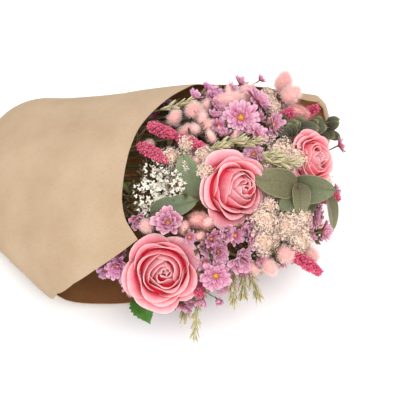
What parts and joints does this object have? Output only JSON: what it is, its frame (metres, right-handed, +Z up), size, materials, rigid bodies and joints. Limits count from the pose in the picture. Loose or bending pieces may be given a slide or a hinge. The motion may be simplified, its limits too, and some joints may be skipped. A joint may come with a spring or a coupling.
{
  "type": "mixed flower bouquet",
  "caption": "Hand-tied mixed dried flower bouquet with roses, lying in a kraft paper wrap tied with twine.",
  "frame": {"origin": "on the flat underside of the paper wrap, below the bouquet's middle, on the surface it lies on", "axes": "+X from the stems to the blooms, +Z up from the surface, +Y to the far side, the wrap's taller edge"},
  "size_m": [0.4334, 0.2486, 0.1551],
  "materials": {
    "kraft_paper": "matte kraft paper, faint fibres",
    "jute_twine": "rough jute twine",
    "binding_band": "matte natural rubber band",
    "rose_petal": "soft matte petals, paler at the edges",
    "green_leaf": "matte green leaf and stem",
    "daisy_petal": "dry papery petals with a faint sheen",
    "bunny_tail": "soft dyed grass plumes",
    "crimson_spike": "dry dyed florets",
    "cream_floret": "dry papery florets",
    "white_floret": "dry papery florets on brown twigs",
    "eucalyptus_leaf": "preserved leaf, waxy matte",
    "oat_straw": "dry straw husks"
  },
  "bodies": {
    "root": {"bunny_tail_corner": "bunny_tail", "bunny_tail_inner": "bunny_tail", "bunny_tail_right": "bunny_tail", "bunny_tails_back": "bunny_tail", "bunny_tails_far": "bunny_tail", "bunny_tails_flap": "bunny_tail", "bunny_tails_long": "bunny_tail", "bunny_tails_mid": "bunny_tail", "bunny_tails_near": "bunny_tail", "bunny_tails_rim": "bunny_tail", "bunny_tails_top": "bunny_tail", "bunny_tails_under": "bunny_tail", "cream_head_back": "cream_floret", "cream_head_crown": "cream_floret", "cream_head_far": "cream_floret", "cream_head_low": "cream_floret", "cream_head_near": "cream_floret", "cream_head_right": "cream_floret", "cream_heads_mid": "cream_floret", "crimson_spike_end": "crimson_spike", "crimson_spike_flap": "crimson_spike", "crimson_spike_low": "crimson_spike", "crimson_spike_near": "crimson_spike", "crimson_spikes_far": "crimson_spike", "crimson_spikes_rim": "crimson_spike", "daisy_spray_back": "daisy_petal", "daisy_spray_corner": "daisy_petal", "daisy_spray_crown": "daisy_petal", "daisy_spray_end": "daisy_petal", "daisy_spray_far": "daisy_petal", "daisy_spray_flap": "daisy_petal", "daisy_spray_foot": "daisy_petal", "daisy_spray_low": "daisy_petal", "daisy_spray_near": "daisy_petal", "daisy_spray_right": "daisy_petal", "daisy_spray_rim": "daisy_petal", "daisy_spray_side": "daisy_petal", "daisy_spray_top": "daisy_petal", "daisy_spray_under": "daisy_petal", "eucalyptus_back": "eucalyptus_leaf", "eucalyptus_far": "eucalyptus_leaf", "eucalyptus_mid": "eucalyptus_leaf", "eucalyptus_right": "eucalyptus_leaf", "gyp_spray": "white_floret", "oats_crown": "oat_straw", "oats_low": "oat_straw", "oats_near": "oat_straw", "oats_rim": "oat_straw", "oats_top": "oat_straw", "paper_wrap": "kraft_paper", "rose_end_bloom": "rose_petal", "rose_end_stem": "green_leaf", "rose_low_bloom": "rose_petal", "rose_low_stem": "green_leaf", "rose_mid_bloom": "rose_petal", "rose_mid_stem": "green_leaf", "stem_band": "binding_band", "twine_tie": "jute_twine"}
  },
  "joints": []
}
